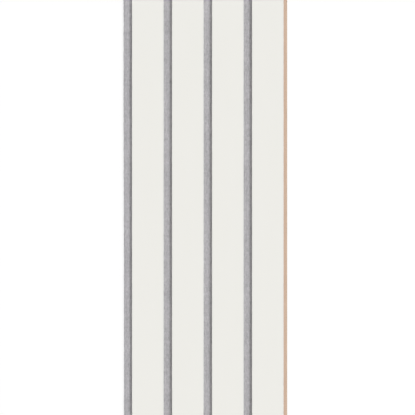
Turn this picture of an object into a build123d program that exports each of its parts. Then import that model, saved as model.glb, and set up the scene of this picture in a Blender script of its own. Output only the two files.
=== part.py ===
import os

from build123d import *

# Acoustic slat panel: white slats on a sheet of grey felt, on a thin MDF board that laps the next panel.
# It lies on its back. X runs across the slats, Y along them, and Z out of the wall side towards the room.
# The origin is the centre of the overall footprint, on the board's back face. Sizes are in millimetres.

# Driving dimensions
panel_length = 2400.0
slat_count = 4
slat_width = 30.0
slat_thickness = 12.0
slat_arris_radius = 0.2  # the foil is wrapped tightly round the two front arrises
gap_width = 8.0  # felt that shows beside each slat
felt_thickness = 3.0
board_thickness = 6.0
lip_width = 3.5  # bare board that stands out past the last slat and goes under the next panel's felt
lip_chamfer = 0.4  # lead-in on the lip's front arris
lap_clearance = 0.5  # room left beside the lip of the panel before

# Places across the panel
pitch = gap_width + slat_width
cover_width = slat_count * pitch
overall_width = cover_width + lip_width
felt_left = -overall_width / 2
felt_right = felt_left + cover_width
board_left = felt_left + lip_width + lap_clearance
board_right = felt_right + lip_width

# Levels above the back face
board_front = board_thickness
felt_front = board_front + felt_thickness
slat_front = felt_front + slat_thickness


def run_along_panel(section):
    # Every piece is one section that runs the whole length and is cut off square with the others.
    return extrude(Plane.XZ * section, amount=panel_length / 2, both=True)


def rectangle_between(left, right, back, front):
    centre = Pos((left + right) / 2, (back + front) / 2)
    return centre * Rectangle(right - left, front - back)


def make_backing_board():
    section = rectangle_between(board_left, board_right, 0, board_front)
    lip_corner = section.vertices().sort_by(Axis.Y)[-2:].sort_by(Axis.X)[-1]
    return run_along_panel(chamfer(lip_corner, lip_chamfer))


def make_felt_sheet():
    return run_along_panel(rectangle_between(felt_left, felt_right, board_front, felt_front))


def make_slat(index):
    # Each slat has its own gap of felt on its left, so the last one ends flush with the felt.
    slat_left = felt_left + gap_width + index * pitch
    section = rectangle_between(slat_left, slat_left + slat_width, felt_front, slat_front)
    front_corners = section.vertices().sort_by(Axis.Y)[-2:]
    return run_along_panel(fillet(front_corners, slat_arris_radius))


def make_panel():
    pieces = {"backing_board": make_backing_board(), "felt_sheet": make_felt_sheet()}
    for index in range(slat_count):
        pieces[f"slat_{index + 1}"] = make_slat(index)
    return pieces


os.makedirs("parts", exist_ok=True)
for name, piece in make_panel().items():
    export_step(piece, f"parts/{name}.step")
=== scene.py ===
import math

import bpy
import numpy as np
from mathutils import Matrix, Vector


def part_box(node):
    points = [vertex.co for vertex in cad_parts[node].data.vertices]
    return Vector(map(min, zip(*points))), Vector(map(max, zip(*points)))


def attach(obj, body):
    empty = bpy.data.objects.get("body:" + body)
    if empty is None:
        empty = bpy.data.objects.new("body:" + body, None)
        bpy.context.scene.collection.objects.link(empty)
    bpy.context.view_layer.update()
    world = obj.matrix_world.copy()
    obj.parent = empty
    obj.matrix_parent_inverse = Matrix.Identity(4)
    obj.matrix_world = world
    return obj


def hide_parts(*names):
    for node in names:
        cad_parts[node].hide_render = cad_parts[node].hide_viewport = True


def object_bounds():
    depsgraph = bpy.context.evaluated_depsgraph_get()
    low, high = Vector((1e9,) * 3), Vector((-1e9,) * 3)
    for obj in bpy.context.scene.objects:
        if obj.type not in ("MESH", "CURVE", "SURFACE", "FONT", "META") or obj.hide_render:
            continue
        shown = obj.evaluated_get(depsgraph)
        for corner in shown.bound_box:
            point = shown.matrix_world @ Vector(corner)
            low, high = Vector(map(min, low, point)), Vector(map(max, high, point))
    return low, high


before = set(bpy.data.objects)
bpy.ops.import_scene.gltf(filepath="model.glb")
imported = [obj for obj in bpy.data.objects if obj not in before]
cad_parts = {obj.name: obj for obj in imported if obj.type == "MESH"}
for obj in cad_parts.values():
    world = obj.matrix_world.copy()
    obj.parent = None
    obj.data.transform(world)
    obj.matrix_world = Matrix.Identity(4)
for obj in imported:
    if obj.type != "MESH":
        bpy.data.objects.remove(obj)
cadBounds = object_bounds()

# Acoustic slat panel on its back: white foil slats on grey felt, on a thin board with a bare lip.
# X runs across the slats, Y along them, and Z towards the room. Lengths are in metres, angles in degrees.

scene = bpy.context.scene
scene.view_settings.view_transform = "Standard"
slatNames = sorted(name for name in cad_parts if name.startswith("slat_"))
slatLow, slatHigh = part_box(slatNames[0])
feltLow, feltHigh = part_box("felt_sheet")
boardLow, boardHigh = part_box("backing_board")
gluePlanes = (boardHigh.z, feltHigh.z)  # the felt is stuck to the board, and the slats to the felt
white = (1.0, 1.0, 1.0)


class Wire:
    # one output socket; sums on wires add Math nodes
    def __init__(self, shader, socket):
        self.shader = shader
        self.socket = socket

    def maths(self, operation, first, second):
        return self.shader.add("ShaderNodeMath", {"operation": operation}, {0: first, 1: second})

    def __add__(self, other):
        return self.maths("ADD", self, other)

    def __radd__(self, other):
        return self.maths("ADD", other, self)

    def __sub__(self, other):
        return self.maths("SUBTRACT", self, other)

    def __rsub__(self, other):
        return self.maths("SUBTRACT", other, self)

    def __mul__(self, other):
        return self.maths("MULTIPLY", self, other)

    def __rmul__(self, other):
        return self.maths("MULTIPLY", other, self)

    def __truediv__(self, other):
        return self.maths("DIVIDE", self, other)

    def __rtruediv__(self, other):
        return self.maths("DIVIDE", other, self)

    def __pow__(self, other):
        return self.maths("POWER", self, other)

    def __rpow__(self, other):
        return self.maths("POWER", other, self)

    def __abs__(self):
        return self.maths("ABSOLUTE", self, 0.0)


class Shader:
    # a node tree that is filled node by node
    def __init__(self, tree):
        self.tree = tree
        tree.nodes.clear()

    def add(self, kind, settings=None, sockets=None, output=0):
        node = self.tree.nodes.new(kind)
        for name, value in (settings or {}).items():
            setattr(node, name, value)
        for name, value in (sockets or {}).items():
            if isinstance(value, Wire):
                self.tree.links.new(value.socket, node.inputs[name])
            else:
                node.inputs[name].default_value = value
        return Wire(self, node.outputs[output]) if node.outputs else None

    def place(self):
        return self.add("ShaderNodeTexCoord", output="Object")

    def part(self, vector, axis):
        return self.add("ShaderNodeSeparateXYZ", None, {0: vector}, output=axis)

    def facing(self, axis):
        # 1 on faces square to that axis, 0 on faces along it
        return abs(self.part(self.add("ShaderNodeNewGeometry", output="Normal"), axis))

    def noise(self, place, size, turn=0.0, detail=2.0, output=0):
        # lumps of that size across X, Y and Z, turned about Z; the middle value is 0.5
        local = self.add("ShaderNodeMapping", {"vector_type": "TEXTURE"}, {
            "Vector": place, "Rotation": (0.0, 0.0, math.radians(turn)), "Scale": size})
        return self.add("ShaderNodeTexNoise", None, {
            "Vector": local, "Scale": 1.0, "Detail": detail}, output)

    def warp(self, place, size, reach):
        # pushes points about by up to that reach, so that straight strands come out wavy
        push = self.noise(place, size, detail=1.0, output=1)
        push = self.add("ShaderNodeVectorMath", {"operation": "SUBTRACT"}, {0: push, 1: (0.5, 0.5, 0.5)})
        push = self.add("ShaderNodeVectorMath", {"operation": "SCALE"}, {0: push, "Scale": 2.0 * reach})
        return self.add("ShaderNodeVectorMath", {"operation": "ADD"}, {0: place, 1: push})

    def strands(self, place, size, turn, thinness):
        # thin lines along Y before the turn, from 0 between them to 1 on them
        field = self.noise(place, size, turn, detail=0.0)
        return (1 - abs(2 * field - 1)) ** thinness

    def specks(self, place, size, turn, levels):
        # bits of that size that lie along Y before the turn
        # they are 0 up to the first level of the noise and 1 from the second
        start, full = levels
        field = self.noise(place, size, turn, detail=1.0)
        return self.clamp((field - start) / (full - start))

    def clamp(self, value):
        return self.add("ShaderNodeClamp", None, {"Value": value})

    def blend(self, share, first, second):
        return self.add("ShaderNodeMix", {"data_type": "RGBA"}, {0: share, 6: first, 7: second}, output=2)

    def bump(self, height, strength, depth):
        return self.add("ShaderNodeBump", None, {"Height": height, "Strength": strength, "Distance": depth})

    def seenRay(self):
        # 1 for rays that show the background, straight or in a gloss, and 0 for rays that only carry light
        camera = self.add("ShaderNodeLightPath", output="Is Camera Ray")
        glossy = self.add("ShaderNodeLightPath", output="Is Glossy Ray")
        through = self.add("ShaderNodeLightPath", output="Is Transmission Ray")
        return self.clamp(camera + glossy + through)


def rgba(colour):
    return (*colour, 1.0)


def newMaterial(name):
    material = bpy.data.materials.new(name)
    material.use_nodes = True
    return material, Shader(material.node_tree)


def finishMaterial(shader, sockets):
    skin = shader.add("ShaderNodeBsdfPrincipled", None, sockets)
    shader.add("ShaderNodeOutputMaterial", None, {"Surface": skin})


# Camera

cameraView = {
    "imagePixels": 415,
    "metresPerPixel": 0.00095,  # at the slats' front faces
    "aim": (0.00195, 0.0),  # what the middle of the picture shows
    "height": 12.0,  # far enough off that no slat's side shows in a gap
}


def addCamera():
    data = bpy.data.cameras.new("frontCamera")
    shownWidth = cameraView["imagePixels"] * cameraView["metresPerPixel"]
    data.lens = data.sensor_width * cameraView["height"] / shownWidth
    data.clip_end = 10 * cameraView["height"]
    camera = bpy.data.objects.new("frontCamera", data)
    camera.location = (*cameraView["aim"], cadBounds[1].z + cameraView["height"])
    scene.collection.objects.link(camera)
    scene.camera = camera
    print("camera set")


# Light

studioLight = {
    "ambient": 0.20,  # a level of 1 would show a white face as white
    "keyLevel": 0.48,
    "keyTilt": 11.5,  # from straight above, towards the lip
    "keyLean": 12.0,  # towards the near end
    "keySpread": 12.0,
    "fillLevel": 0.256,  # from straight above
    "fillSpread": 2.5,
}


def addSun(name, level, spread, lean=0.0, tilt=0.0):
    lean, tilt = math.radians(lean), math.radians(tilt)
    data = bpy.data.lights.new(name, "SUN")
    data.energy = level * math.pi / (math.cos(lean) * math.cos(tilt))
    data.angle = math.radians(spread)
    sun = bpy.data.objects.new(name, data)
    sun.rotation_euler = (lean, tilt, 0.0)
    scene.collection.objects.link(sun)


def addLight():
    addSun("keyLight", studioLight["keyLevel"], studioLight["keySpread"],
           studioLight["keyLean"], studioLight["keyTilt"])
    addSun("fillLight", studioLight["fillLevel"], studioLight["fillSpread"])
    world = bpy.data.worlds.new("studio")
    world.use_nodes = True
    scene.world = world
    shader = Shader(world.node_tree)
    ambient = studioLight["ambient"]
    strength = ambient + (1 - ambient) * shader.seenRay()
    sky = shader.add("ShaderNodeBackground", None, {"Color": rgba(white), "Strength": strength})
    shader.add("ShaderNodeOutputWorld", None, {"Surface": sky})
    print("light set")


# Floor

studioFloor = {
    "halfSide": 40.0,
    "colour": (0.97, 0.97, 0.97),
    "glow": 0.83,  # share of plain white in the picture; the rest carries the shadow
    "glowLevel": 1.025,  # makes up for the paper, so that floor in full light is pure white
}


def addFloor():
    material, shader = newMaterial("floorPaper")
    paper = shader.add("ShaderNodeBsdfDiffuse", None, {"Color": rgba(studioFloor["colour"])})
    glow = shader.add("ShaderNodeEmission", None, {
        "Color": rgba(white), "Strength": studioFloor["glowLevel"]})
    both = shader.add("ShaderNodeMixShader", None, {
        0: studioFloor["glow"] * shader.seenRay(), 1: paper, 2: glow})
    shader.add("ShaderNodeOutputMaterial", None, {"Surface": both})
    side = studioFloor["halfSide"]
    corners = [(-side, -side, 0.0), (side, -side, 0.0), (side, side, 0.0), (-side, side, 0.0)]
    mesh = bpy.data.meshes.new("floor")
    mesh.from_pydata(corners, [], [(0, 1, 2, 3)])
    mesh.materials.append(material)
    floor = bpy.data.objects.new("floor", mesh)
    scene.collection.objects.link(floor)
    print("floor laid")


# Sections

arrisSteps = 6
flushReach = 0.000001  # a point this near to a node's side lies on it


def sideTop(name):
    # how high a node's right-hand side goes before its front arris starts
    low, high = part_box(name)
    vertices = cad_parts[name].data.vertices
    return max(vertex.co.z for vertex in vertices if high.x - vertex.co.x < flushReach)


def towards(start, end):
    return (end - start) / np.linalg.norm(end - start)


def easedLoop(corners, radii, support):
    # a section's (x, z) corners, rounded off where they have a radius
    # each round has a point that far off on either side, which keeps the flats flat
    corners = np.asarray(corners)
    loop = []
    for index, (corner, radius) in enumerate(zip(corners, radii)):
        if not radius:
            loop.append(corner)
            continue
        backward = towards(corner, corners[index - 1])
        onward = towards(corner, corners[(index + 1) % len(corners)])
        loop.append(corner + (radius + support) * backward)
        for share in np.linspace(0.0, 1.0, arrisSteps + 1):
            loop.append(corner + radius * ((1 - share) ** 2 * backward + share ** 2 * onward))
        loop.append(corner + (radius + support) * onward)
    return np.array(loop)


def sectionAt(y, loop):
    # a section's (x, z) points, set at that place along the panel
    return np.column_stack([loop[:, 0], np.full(len(loop), y), loop[:, 1]])


def bothEnds(low, high, nearLoops, folds):
    # sections from (distance from the end, loop) pairs, alike at both ends, and one at each fold between
    bodyInset, body = nearLoops[-1]
    foldPlaces = np.linspace(low.y + bodyInset, high.y - bodyInset, folds + 1)[1:-1]
    near = [sectionAt(low.y + inset, loop) for inset, loop in nearLoops]
    between = [sectionAt(y, body) for y in foldPlaces]
    far = [sectionAt(high.y - inset, loop) for inset, loop in reversed(nearLoops)]
    return np.stack(near + between + far)


def wallCorners(grid):
    # the four corners of each wall between one section and the next
    turned = np.roll(grid, -1, axis=1)
    return np.stack([grid[:-1], turned[:-1], turned[1:], grid[1:]], axis=2)


# Maps for baking each finish

bakeMap = {
    "name": "OFBake",
    "endBand": 0.07,  # height of the band that holds one end of a piece, in a map that is 1 by 1
    "gap": 0.008,
    "gluedWidth": 0.01,  # a wider wall on a glue line is out of sight,
    "gluedShare": 0.02,  # so it gets only this share of its width
}


def laidFlat(places, low, high, bottom):
    # places on an end, seen square-on, in a band across the map
    share = (places - low) / (high - low)
    across = bakeMap["gap"] + (1 - 2 * bakeMap["gap"]) * share[..., 0]
    return np.stack([across, bottom + bakeMap["endBand"] * share[..., 2]], axis=-1)


def sharesAcross(section):
    # where the walls of a section start and end across a strip, from 0 to 1
    after = np.roll(section, -1, axis=0)
    widths = np.linalg.norm(after - section, axis=1)
    onGlue = np.isclose(section[:, 2:], gluePlanes) & np.isclose(after[:, 2:], gluePlanes)
    widths[onGlue.any(axis=1) & (widths > bakeMap["gluedWidth"])] *= bakeMap["gluedShare"]
    return np.append(0.0, np.cumsum(widths)) / widths.sum()


def layMap(mesh, sections, endRows, folds):
    # the two ends lie flat, one above the other, and the walls between are folded into strips side by side
    rows, points = sections.shape[:2]
    gap, band = bakeMap["gap"], bakeMap["endBand"]
    nearBottom = gap
    farBottom = nearBottom + band + gap
    stripBottom = farBottom + band + 2 * gap
    foldRows = (rows - 1 - 2 * endRows) // folds
    fold, row = np.divmod(np.arange(rows - 1) - endRows, foldRows)
    rise = (1 - gap - stripBottom) / foldRows
    bottom = stripBottom + rise * row
    top = bottom + rise
    pitch = (1 - gap) / folds
    side = gap + pitch * fold[:, None] + (pitch - gap) * sharesAcross(sections[rows // 2])
    wallMap = np.empty((rows - 1, points, 4, 2))
    wallMap[..., 0] = np.stack([side[:, :-1], side[:, 1:], side[:, 1:], side[:, :-1]], axis=-1)
    wallMap[..., 1] = np.stack([bottom, bottom, top, top], axis=-1)[:, None]

    # the rows that turn into an end lie flat with it
    low, high = sections.min(axis=(0, 1)), sections.max(axis=(0, 1))
    if endRows:
        corners = wallCorners(sections)
        wallMap[:endRows] = laidFlat(corners[:endRows], low, high, nearBottom)
        wallMap[-endRows:] = laidFlat(corners[-endRows:], low, high, farBottom)
    nearMap = laidFlat(sections[0][::-1], low, high, nearBottom)
    farMap = laidFlat(sections[-1], low, high, farBottom)
    layer = mesh.uv_layers.new(name=bakeMap["name"])
    layer.uv.foreach_set("vector", np.concatenate([wallMap.reshape(-1, 2), nearMap, farMap]).ravel())


# Pieces

def sweptPiece(name, sections, materials, values, endRows=0):
    # closed loops of equal length, joined row to row and closed at both ends
    rows, points = sections.shape[:2]
    grid = np.arange(rows * points).reshape(rows, points)
    faces = wallCorners(grid).reshape(-1, 4).tolist()
    faces += [grid[0][::-1].tolist(), grid[-1].tolist()]
    mesh = bpy.data.meshes.new(name)
    mesh.from_pydata(sections.reshape(-1, 3).tolist(), [], faces)
    for material in materials:
        mesh.materials.append(material)
    mesh.polygons.foreach_set("use_smooth", np.ones(len(faces), bool))
    mesh.set_sharp_from_angle(angle=math.radians(values["sharpAngle"]))
    layMap(mesh, sections, endRows, values["mapFolds"])
    mesh.update()
    piece = bpy.data.objects.new(name, mesh)
    scene.collection.objects.link(piece)
    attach(piece, "root")
    return piece


# Raw MDF, on the board and on the sawn ends of the slats

rawMdf = {
    "paleColour": (0.664, 0.495, 0.385),
    "darkColour": (0.566, 0.407, 0.306),
    "coreColour": (0.790, 0.650, 0.520),
    "fleckColour": (0.300, 0.190, 0.120),
    "skinDepth": 0.0016,  # the hard, darker layer under each pressed face
    "coreShare": 0.95,  # how much of the core's colour shows below it,
    "coreWool": 0.5,  # and how much of that dark wool takes off
    "coreRelief": 0.6,
    "woolSize": (0.0005, 0.0005, 0.0002),  # clumps of fine fibre, pressed flat
    "woolTone": 1.6,
    "patchSize": (0.012, 0.03, 0.006),
    "patchTone": 0.5,
    "fleckSize": (0.0003, 0.0022, 0.00018),  # single coarse fibres
    "fleckTurns": (24.0, 116.0),  # which way they lie
    "fleckLevels": (0.58, 0.80),  # few show at high levels
    "fleckShare": 0.35,
    "fleckRelief": 0.4,
    "waveSize": (0.002, 0.002, 0.002),  # bends the fibres
    "waveReach": 0.0006,
    "scoreSize": (0.0007, 0.01, 0.03),  # lines that the saw leaves on an end
    "scoreFalloff": 4.0,  # how soon they stop round the end's arrises
    "scoreShare": 0.10,
    "scoreRelief": 1.2,
    "roughness": 0.86,
    "roughnessSpread": 0.12,
    "shine": 0.3,
    "reliefDepth": 0.00008,
    "reliefStrength": 0.5,
}


def mdfMaterial(name, back, front):
    material, shader = newMaterial(name)
    place = shader.place()
    depth = (front - back) / 2 - abs(shader.part(place, "Z") - (back + front) / 2)  # under the nearer face
    core = shader.clamp(depth / rawMdf["skinDepth"])
    sawn = shader.facing("Y") ** rawMdf["scoreFalloff"]
    wavy = shader.warp(place, rawMdf["waveSize"], rawMdf["waveReach"])
    wool = shader.noise(wavy, rawMdf["woolSize"], detail=4.0)
    alongFleck, acrossFleck = [
        shader.specks(wavy, rawMdf["fleckSize"], turn, rawMdf["fleckLevels"])
        for turn in rawMdf["fleckTurns"]]
    fleck = alongFleck + acrossFleck
    patch = shader.noise(place, rawMdf["patchSize"])
    score = sawn * shader.noise(place, rawMdf["scoreSize"])

    tone = shader.clamp(0.5 + rawMdf["woolTone"] * (wool - 0.5) + rawMdf["patchTone"] * (patch - 0.5))
    colour = shader.blend(tone, rgba(rawMdf["paleColour"]), rgba(rawMdf["darkColour"]))
    inside = core * (rawMdf["coreShare"] - rawMdf["coreWool"] * wool)
    colour = shader.blend(inside, colour, rgba(rawMdf["coreColour"]))
    marks = shader.clamp(rawMdf["fleckShare"] * fleck + rawMdf["scoreShare"] * score)
    colour = shader.blend(marks, colour, rgba(rawMdf["fleckColour"]))
    relief = wool + rawMdf["fleckRelief"] * fleck
    relief = relief + rawMdf["coreRelief"] * core * wool + rawMdf["scoreRelief"] * score
    finishMaterial(shader, {
        "Base Color": colour,
        "Roughness": rawMdf["roughness"] + rawMdf["roughnessSpread"] * (wool - 0.5),
        "Specular IOR Level": rawMdf["shine"],
        "Normal": shader.bump(relief, rawMdf["reliefStrength"], rawMdf["reliefDepth"]),
    })
    return material


# Board

board = {
    "arrisEase": 0.0002,
    "leadInEase": 0.0001,
    "endEase": 0.00015,
    "flatSupport": 0.0001,
    "sharpAngle": 40.0,
    "mapFolds": 4,
}


def boardLoop(inset):
    # the board's section, drawn in by that much all round, from the back left corner over the front
    left, right = boardLow.x + inset, boardHigh.x - inset
    back, front = boardLow.z + inset, boardHigh.z - inset
    leadIn = boardHigh.z - sideTop("backing_board")
    ease, leadInEase = board["arrisEase"], board["leadInEase"]
    easedCorners = [
        ((left, back), ease),
        ((left, front), ease),
        ((feltHigh.x, front), 0.0),  # where the felt ends and the bare lip starts
        ((right - leadIn, front), leadInEase),
        ((right, front - leadIn), leadInEase),
        ((right, back), ease),
    ]
    return easedLoop(*zip(*easedCorners), board["flatSupport"])


def addBoard(mdf):
    ease = board["endEase"]
    loops = [(0.0, boardLoop(ease)), (ease, boardLoop(0.0))]
    sections = bothEnds(boardLow, boardHigh, loops, board["mapFolds"])
    piece = sweptPiece("backing_board_milled", sections, [mdf], board, endRows=1)
    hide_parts("backing_board")
    print("board milled")


# Felt

felt = {
    "columnStep": 0.001,
    "rowStep": 0.0012,
    "sideSteps": 4,
    "swell": 0.00022,  # felt stands up a little between the slats that press on it
    "napHeight": 0.000063,
    "napReaches": ((1.0, 1.0), (3.0, 2.0)),  # rows and columns that a tuft takes up
    "edgeRadius": 0.00015,
    "edgeTurns": (30.0, 60.0),
    "edgeShort": 0.00012,  # the knife runs a hair inside the line
    "edgeWeaves": ((0.00030, 0.90), (0.00005, 0.23)),  # and weaves: reach and length of each wave
    "edgeFray": 0.00006,
    "frayReach": (0.7, 0.7),
    "flushFrayShare": 0.5,  # the edge under the last slat frays less
    "seed": 7,
    "sharpAngle": 50.0,
    "mapFolds": 8,
    "paleColour": (0.560, 0.547, 0.576),
    "darkColour": (0.299, 0.291, 0.311),
    "whiteFibre": (0.800, 0.790, 0.800),
    "darkFibre": (0.150, 0.146, 0.160),
    "middleTone": 0.48,  # from dark at 0 to pale at 1
    "alongClumps": ((0.0008, 0.0042, 0.0015), 1.45),  # size of the clumps of fibre, and weight in the tone
    "acrossClumps": ((0.0070, 0.0024, 0.0015), 0.5),
    "streaks": ((0.0009, 0.045, 0.0015), 0.95),  # left by the carding
    "drift": ((0.020, 0.016, 0.020), 0.5),
    "clumpRelief": 0.4,
    "fibreSize": (0.00016, 0.0030, 0.0006),
    "fibreRelief": 0.25,
    "whiteTurns": (18.0, 118.0),  # which way the fibres lie
    "whiteThinness": 8.0,
    "whiteShare": 0.32,
    "darkTurns": (66.0, 158.0),
    "darkThinness": 9.0,
    "darkShare": 0.22,
    "waveSize": (0.0025, 0.0025, 0.0025),  # bends the fibres
    "waveReach": 0.0008,
    "roughness": 0.95,
    "shine": 0.15,
    "sheen": 0.12,
    "sheenRoughness": 0.6,
    "reliefDepth": 0.00025,
    "reliefStrength": 0.5,
}


def feltMaterial():
    material, shader = newMaterial("greyFelt")
    place = shader.place()
    wavy = shader.warp(place, felt["waveSize"], felt["waveReach"])

    def lumps(pattern):
        size, weight = felt[pattern]
        return weight * (shader.noise(place, size, detail=1.0) - 0.5)

    def fibres(turns, thinness):
        first, second = [shader.strands(wavy, felt["fibreSize"], turn, thinness) for turn in turns]
        return first + second

    clumps = lumps("alongClumps") + lumps("acrossClumps")
    tone = shader.clamp(felt["middleTone"] + clumps + lumps("streaks") + lumps("drift"))
    colour = shader.blend(tone, rgba(felt["darkColour"]), rgba(felt["paleColour"]))
    whiteFibres = fibres(felt["whiteTurns"], felt["whiteThinness"])
    darkFibres = fibres(felt["darkTurns"], felt["darkThinness"])
    colour = shader.blend(felt["whiteShare"] * shader.clamp(whiteFibres), colour, rgba(felt["whiteFibre"]))
    colour = shader.blend(felt["darkShare"] * shader.clamp(darkFibres), colour, rgba(felt["darkFibre"]))
    relief = felt["clumpRelief"] * clumps
    relief = relief + felt["fibreRelief"] * whiteFibres + felt["fibreRelief"] * darkFibres
    finishMaterial(shader, {
        "Base Color": colour,
        "Roughness": felt["roughness"],
        "Specular IOR Level": felt["shine"],
        "Sheen Weight": felt["sheen"],
        "Sheen Roughness": felt["sheenRoughness"],
        "Normal": shader.bump(relief, felt["reliefStrength"], felt["reliefDepth"]),
    })
    return material


def smoothField(draw, rows, columns, reach):
    # seeded lumps of about that many rows and columns, with a spread of 1
    waves = np.fft.rfft2(draw.standard_normal((rows, columns)))
    rowWave = np.fft.fftfreq(rows)[:, None] * reach[0]
    columnWave = np.fft.rfftfreq(columns)[None, :] * reach[1]
    waves *= np.exp(-2 * math.pi ** 2 * (rowWave ** 2 + columnWave ** 2))
    field = np.fft.irfft2(waves, s=(rows, columns))
    return field / field.std()


def lineAlong(x, ys, z):
    # a line of points along the sheet, at one place round its section
    return np.column_stack([np.broadcast_to(x, len(ys)), ys, np.broadcast_to(z, len(ys))])


def knifeWander(ys):
    # how far inside its straight line the free edge runs
    wander = np.full(len(ys), felt["edgeShort"])
    for reach, length in felt["edgeWeaves"]:
        wander -= reach * np.sin(2 * math.pi * ys / length)
    return wander


def freeEdgeLines(ys, wander, fray):
    # cut with a knife, from the back up and round the front arris
    radius = felt["edgeRadius"]
    heights = np.linspace(feltLow.z, feltHigh.z - radius, felt["sideSteps"] + 1)
    lines = [lineAlong(feltLow.x + wander + tufts, ys, z) for z, tufts in zip(heights, fray.T)]
    for turn in np.radians(felt["edgeTurns"]):
        x = feltLow.x + radius * (1 - math.cos(turn)) + wander + fray[:, -1]
        lines.append(lineAlong(x, ys, feltHigh.z - radius * (1 - math.sin(turn))))
    return lines


def feltGaps():
    # where the felt shows: (left, right) of each strip, which a slat closes on its right
    strips = []
    left = feltLow.x
    for name in slatNames:
        low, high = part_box(name)
        strips.append((left, low.x))
        left = high.x
    return strips


def frontLines(ys, wander, draw):
    # stands up in the gaps and is flat under the slats
    step = felt["columnStep"]
    columns = round((feltHigh.x - feltLow.x) / step) + 1
    nap = sum(smoothField(draw, len(ys), columns, reach) for reach in felt["napReaches"])
    lines = []
    for index, (left, right) in enumerate(feltGaps()):
        first = left if index else left + felt["edgeRadius"]
        for x in np.linspace(first, right, round((right - first) / step) + 1):
            share = (x - left) / (right - left)
            swell = math.sin(math.pi * share)
            tufts = nap[:, round((x - feltLow.x) / step)] * min(1.0, 2 * swell)  # none at the strip's sides
            edgeShift = 0.0 if index else wander * max(0.0, 1 - 2 * share)  # none from the strip's middle on
            z = feltHigh.z + felt["swell"] * swell + felt["napHeight"] * tufts
            lines.append(lineAlong(x + edgeShift, ys, z))
    return lines


def backLines(ys, fray):
    # down the edge that is flush with the last slat, and back under the sheet to the board's edge
    flushFray = felt["flushFrayShare"] * fray[::-1, 1]
    return [
        lineAlong(feltHigh.x, ys, feltHigh.z),
        lineAlong(feltHigh.x + flushFray, ys, (feltLow.z + feltHigh.z) / 2),
        lineAlong(feltHigh.x, ys, feltLow.z),
        lineAlong(boardLow.x, ys, feltLow.z),
    ]


def addFelt(material):
    draw = np.random.default_rng(felt["seed"])
    width, length = feltHigh.x - feltLow.x, feltHigh.y - feltLow.y
    folds = felt["mapFolds"]
    foldRows = round(length / felt["rowStep"] / folds)
    ys = np.linspace(feltLow.y, feltHigh.y, folds * foldRows + 1)
    wander = knifeWander(ys)
    fray = felt["edgeFray"] * smoothField(draw, len(ys), felt["sideSteps"] + 1, felt["frayReach"])
    lines = freeEdgeLines(ys, wander, fray) + frontLines(ys, wander, draw) + backLines(ys, fray)
    piece = sweptPiece("felt_sheet_needled", np.stack(lines, axis=1), [material], felt)
    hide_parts("felt_sheet")
    print("felt laid:", len(piece.data.polygons), "faces")


# Slats

slat = {
    "backEase": 0.00015,
    "endEase": 0.00012,
    "flatSupport": 0.0003,
    "foilThickness": 0.00025,
    "sharpAngle": 40.0,
    "mapFolds": 6,
    "foilColour": (0.863, 0.855, 0.811),
    "cloudColour": (0.850, 0.841, 0.794),
    "cloudSize": (0.02, 0.09, 0.02),
    "grainSize": (0.00035, 0.0006, 0.00035),
    "grainRelief": 0.7,
    "pressSize": (0.0012, 0.012, 0.0012),  # shallow waves from the wrapping rollers
    "pressRelief": 0.3,
    "roughness": 0.52,
    "roughnessSpread": 0.10,
    "shine": 0.35,
    "reliefDepth": 0.00010,
    "reliefStrength": 1.0,
}


def foilMaterial():
    material, shader = newMaterial("whiteFoil")
    place = shader.place()
    cloud = shader.noise(place, slat["cloudSize"], detail=3.0)
    grain = shader.noise(place, slat["grainSize"])
    press = shader.noise(place, slat["pressSize"], detail=1.0)
    relief = slat["grainRelief"] * grain + slat["pressRelief"] * press
    finishMaterial(shader, {
        "Base Color": shader.blend(cloud, rgba(slat["foilColour"]), rgba(slat["cloudColour"])),
        "Roughness": slat["roughness"] + slat["roughnessSpread"] * (grain - 0.5),
        "Specular IOR Level": slat["shine"],
        "Normal": shader.bump(relief, slat["reliefStrength"], slat["reliefDepth"]),
    })
    return material


def slatLoop(name, inset):
    # the slat's section, drawn in by that much all round, from the back left corner over the front
    low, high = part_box(name)
    left, right = low.x + inset, high.x - inset
    back, front = low.z + inset, high.z - inset
    backEase = slat["backEase"]
    arris = max(high.z - sideTop(name) - inset, backEase)
    corners = [(left, back), (left, front), (right, front), (right, back)]
    return easedLoop(corners, [backEase, arris, arris, backEase], slat["flatSupport"])


def addSlat(name, foil, mdf):
    ease = slat["endEase"]
    core = slatLoop(name, ease + slat["foilThickness"])
    rim = slatLoop(name, ease)
    body = slatLoop(name, 0.0)
    sections = bothEnds(*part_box(name), [(0.0, core), (0.0, rim), (ease, body)], slat["mapFolds"])
    piece = sweptPiece(name + "_wrapped", sections, [foil, mdf], slat, endRows=2)
    slots = np.zeros((len(sections) - 1, len(body)), np.int32)
    slots[:, [-2, -1, 0]] = 1  # the three walls across the back have no foil
    slots = np.append(slots.ravel(), [1, 1])  # nor do the sawn ends
    piece.data.polygons.foreach_set("material_index", slots)
    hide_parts(name)


addCamera()
addLight()
addFloor()
addBoard(mdfMaterial("boardMdf", boardLow.z, boardHigh.z))
addFelt(feltMaterial())
whiteFoil = foilMaterial()
slatMdf = mdfMaterial("slatMdf", slatLow.z, slatHigh.z)
for slatName in slatNames:
    addSlat(slatName, whiteFoil, slatMdf)
print("slats wrapped:", len(slatNames))
